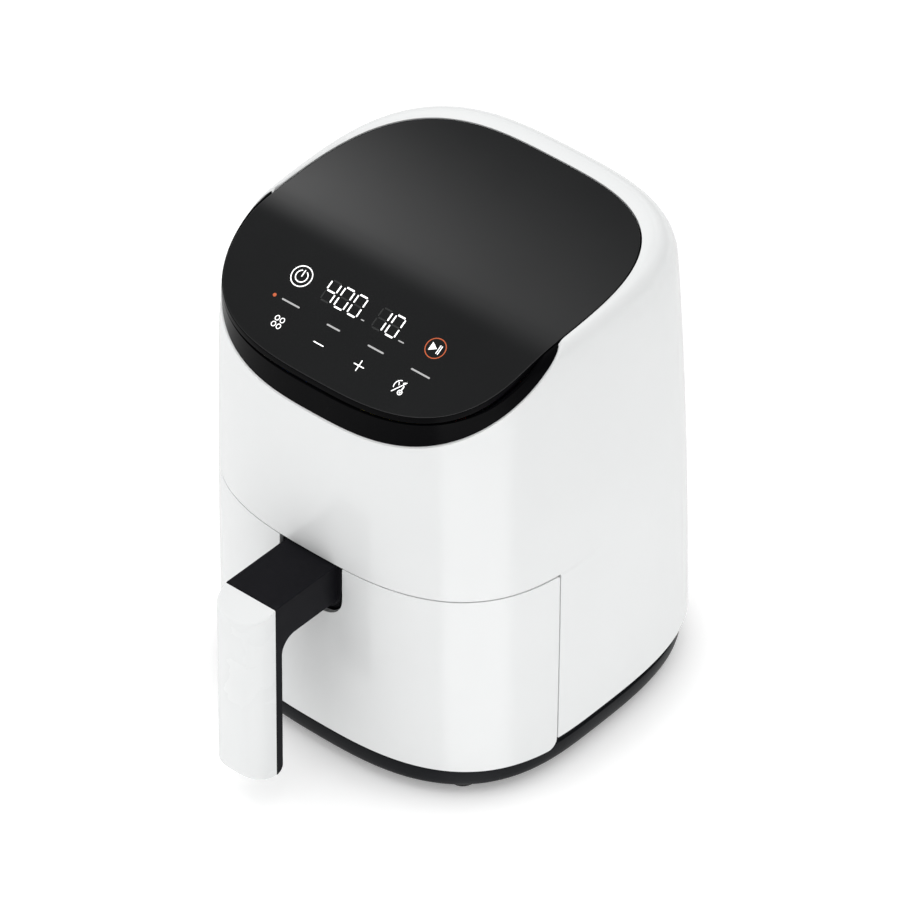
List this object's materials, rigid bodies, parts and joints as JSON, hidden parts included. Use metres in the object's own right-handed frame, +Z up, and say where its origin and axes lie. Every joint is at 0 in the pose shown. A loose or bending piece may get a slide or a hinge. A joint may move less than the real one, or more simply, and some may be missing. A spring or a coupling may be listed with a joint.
{
  "type": "air fryer",
  "caption": "Compact countertop air fryer with a slide-out drawer basket, lift-out crisper plate, D-shaped handle, sloping touch panel, ring heater and a motor-driven fan.",
  "frame": {"origin": "centre of the appliance's bounding box on the surface it stands on, handle included", "axes": "+Z up, -Y out of the front where the handle and drawer are, +X to the right of a person facing the front"},
  "size_m": [0.1964, 0.2616, 0.257],
  "materials": {
    "gloss_white": "gloss",
    "handle_white": "gloss",
    "panel_black": "high gloss",
    "bezel_black": "gloss",
    "base_grey": "fine texture",
    "black_plastic": "satin",
    "handle_black": "satin",
    "inner_plastic": "matt",
    "clear_white": "matt",
    "display": "gloss",
    "board_green": "satin",
    "nonstick": "satin nonstick coating",
    "steel": "plain sheet",
    "screw_steel": "zinc plated",
    "heater_steel": "heat darkened",
    "core_steel": "laminated",
    "copper": "enamelled wire",
    "bronze": "sintered",
    "aluminium": "pressed sheet",
    "insulation": "mineral wool",
    "rubber": "matt",
    "silicone": "matt",
    "relay_blue": "satin",
    "core_tape": "satin",
    "wire_red": "satin",
    "switch_white": "satin"
  },
  "bodies": {
    "housing": {"outer_shell": "gloss_white", "base_tray": "base_grey", "rubber_feet": "rubber", "base_screws": "screw_steel", "top_panel": "panel_black", "panel_bezel": "bezel_black", "panel_carrier": "inner_plastic", "light_guide": "clear_white", "display_module": "display", "control_board": "board_green", "touch_springs": "steel", "buzzer": "black_plastic", "mouth_frame": "black_plastic", "cavity_liner": "steel", "guide_rails": "steel", "chamber_top": "steel", "heat_reflector": "steel", "reflector_screws": "screw_steel", "heater_coil": "heater_steel", "heater_clips": "steel", "fan_guard": "steel", "insulation_pad": "insulation", "motor_bracket": "steel", "motor_core": "core_steel", "motor_winding": "copper", "motor_cap": "steel", "motor_bushes": "bronze", "motor_screws": "screw_steel", "thermal_cutout": "black_plastic", "temperature_probe": "steel", "power_board": "board_green", "power_relay": "relay_blue", "power_capacitor": "black_plastic", "power_transformer": "core_tape", "terminal_block": "clear_white", "wiring": "wire_red", "exhaust_duct": "inner_plastic", "exhaust_grille": "black_plastic", "cord_gland": "black_plastic", "drawer_switch": "black_plastic"},
    "drawer": {"drawer_front": "gloss_white", "drawer_frame": "black_plastic", "front_screws": "screw_steel", "basket": "nonstick", "basket_bracket": "steel", "bracket_screws": "screw_steel", "handle_arm": "handle_black", "handle_cover": "handle_white", "handle_screws": "screw_steel"},
    "crisper": {"crisper_plate": "nonstick", "crisper_bumpers": "silicone"},
    "rotor": {"fan_impeller": "aluminium", "rotor_shaft": "steel", "rotor_core": "core_steel", "cooling_fan": "black_plastic", "fan_nut": "steel"},
    "plunger": {"switch_plunger": "switch_white"}
  },
  "joints": [
    {"name": "drawer_slide", "type": "slide", "parent": "housing", "child": "drawer", "axis": [0, -1, 0], "range_m": [0, 0.18]},
    {"name": "crisper_lift", "type": "slide", "parent": "drawer", "child": "crisper", "axis": [0, 0, 1], "range_m": [0, 0.07]},
    {"name": "fan_spin", "type": "hinge", "parent": "housing", "child": "rotor", "pos_m": [0, 0.0193, 0.18], "axis": [0, 0, 1], "continuous": true},
    {"name": "plunger_travel", "type": "slide", "parent": "housing", "child": "plunger", "axis": [0, -1, 0], "range_m": [0, 0.0025]}
  ],
  "couplings": [
    {"joint": "plunger_travel", "follows": "drawer_slide", "ratio": 0.0138}
  ]
}
